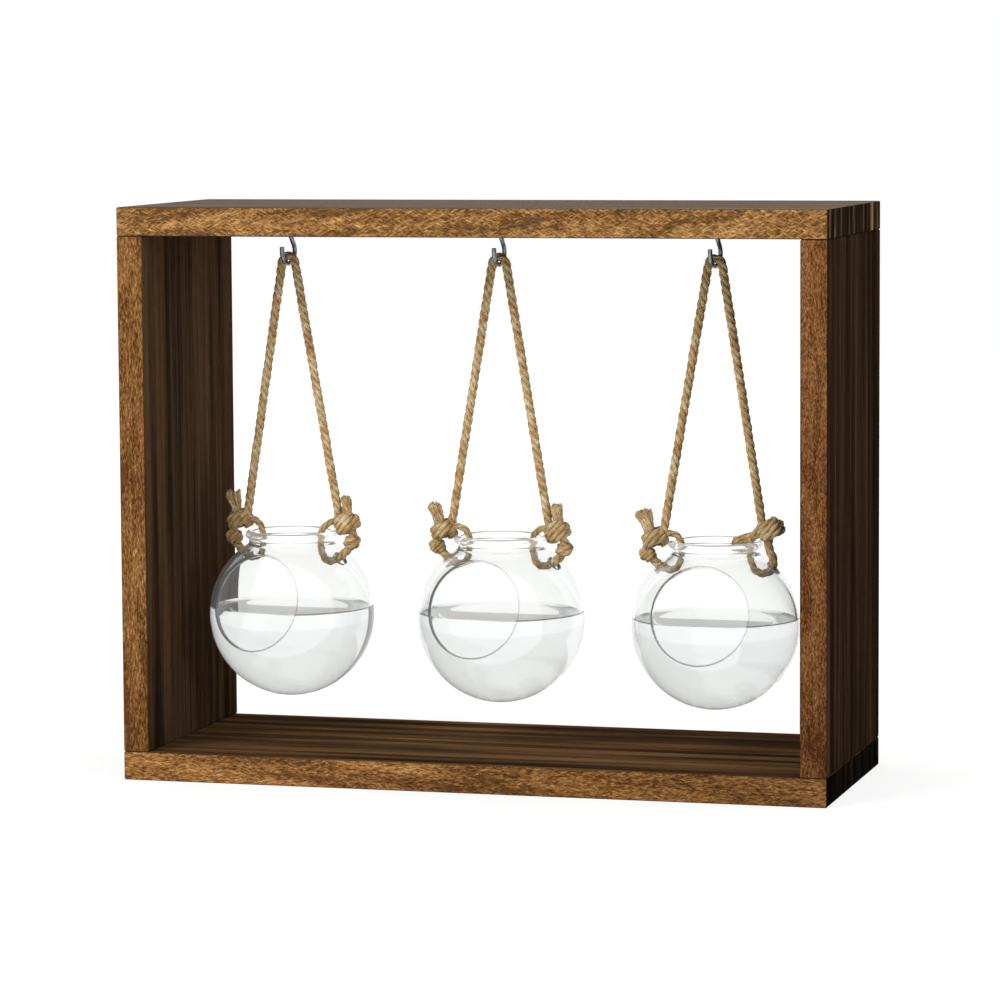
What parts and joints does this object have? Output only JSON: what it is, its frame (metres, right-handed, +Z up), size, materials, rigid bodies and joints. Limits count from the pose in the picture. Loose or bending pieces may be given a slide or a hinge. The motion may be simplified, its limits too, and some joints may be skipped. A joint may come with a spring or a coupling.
{
  "type": "propagation vase stand",
  "caption": "Open wooden box stand with clear glass globe vases, each hanging in a loop of knotted jute rope from a steel screw hook, for rooting cuttings in water.",
  "frame": {"origin": "centre of the stand's underside", "axes": "+X along the stand to the right as seen from the front, +Y from front to back, +Z up"},
  "size_m": [0.35, 0.132, 0.28],
  "materials": {
    "stained_wood": "dark stained, open grain",
    "dowel_wood": "plain beech",
    "zinc_steel": "zinc plated wire",
    "jute_rope": "twisted jute",
    "clear_glass": "clear, fire polished"
  },
  "bodies": {
    "stand": {"top_board": "stained_wood", "bottom_board": "stained_wood", "left_board": "stained_wood", "right_board": "stained_wood", "top_left_dowels": "dowel_wood", "top_right_dowels": "dowel_wood", "bottom_left_dowels": "dowel_wood", "bottom_right_dowels": "dowel_wood", "left_hook": "zinc_steel", "middle_hook": "zinc_steel", "right_hook": "zinc_steel"},
    "left_loop": {"left_rope_bend": "jute_rope"},
    "left_rope": {"left_rope_legs": "jute_rope", "left_rope_left_knot": "jute_rope", "left_rope_right_knot": "jute_rope"},
    "left_vase": {"left_globe": "clear_glass"},
    "middle_loop": {"middle_rope_bend": "jute_rope"},
    "middle_rope": {"middle_rope_legs": "jute_rope", "middle_rope_left_knot": "jute_rope", "middle_rope_right_knot": "jute_rope"},
    "middle_vase": {"middle_globe": "clear_glass"},
    "right_loop": {"right_rope_bend": "jute_rope"},
    "right_rope": {"right_rope_legs": "jute_rope", "right_rope_left_knot": "jute_rope", "right_rope_right_knot": "jute_rope"},
    "right_vase": {"right_globe": "clear_glass"}
  },
  "joints": [
    {"name": "left_side_swing", "type": "hinge", "parent": "stand", "child": "left_loop", "pos_m": [-0.10856, -0.00244, 0.2504], "axis": [0.225, 0.9744, 0], "range_deg": [-3, 3]},
    {"name": "left_front_swing", "type": "hinge", "parent": "left_loop", "child": "left_rope", "pos_m": [-0.10856, -0.00244, 0.25104], "axis": [1, 0, 0], "range_deg": [-40, 40]},
    {"name": "left_tilt", "type": "hinge", "parent": "left_rope", "child": "left_vase", "pos_m": [-0.10856, -0.00244, 0.10569], "axis": [0.9659, -0.2588, 0], "range_deg": [-12, 12]},
    {"name": "middle_side_swing", "type": "hinge", "parent": "stand", "child": "middle_loop", "pos_m": [-0.00039, -0.00247, 0.2504], "axis": [0.1564, 0.9877, 0], "range_deg": [-3, 3]},
    {"name": "middle_front_swing", "type": "hinge", "parent": "middle_loop", "child": "middle_rope", "pos_m": [-0.00039, -0.00247, 0.25104], "axis": [1, 0, 0], "range_deg": [-40, 40]},
    {"name": "middle_tilt", "type": "hinge", "parent": "middle_rope", "child": "middle_vase", "pos_m": [-0.00039, -0.00247, 0.10569], "axis": [0.9877, -0.1564, 0], "range_deg": [-12, 12]},
    {"name": "right_side_swing", "type": "hinge", "parent": "stand", "child": "right_loop", "pos_m": [0.10748, -0.00245, 0.2504], "axis": [0.2079, 0.9781, 0], "range_deg": [-3, 3]},
    {"name": "right_front_swing", "type": "hinge", "parent": "right_loop", "child": "right_rope", "pos_m": [0.10748, -0.00245, 0.25104], "axis": [1, 0, 0], "range_deg": [-40, 40]},
    {"name": "right_tilt", "type": "hinge", "parent": "right_rope", "child": "right_vase", "pos_m": [0.10748, -0.00245, 0.10569], "axis": [0.9998, -0.0175, 0], "range_deg": [-12, 12]}
  ]
}
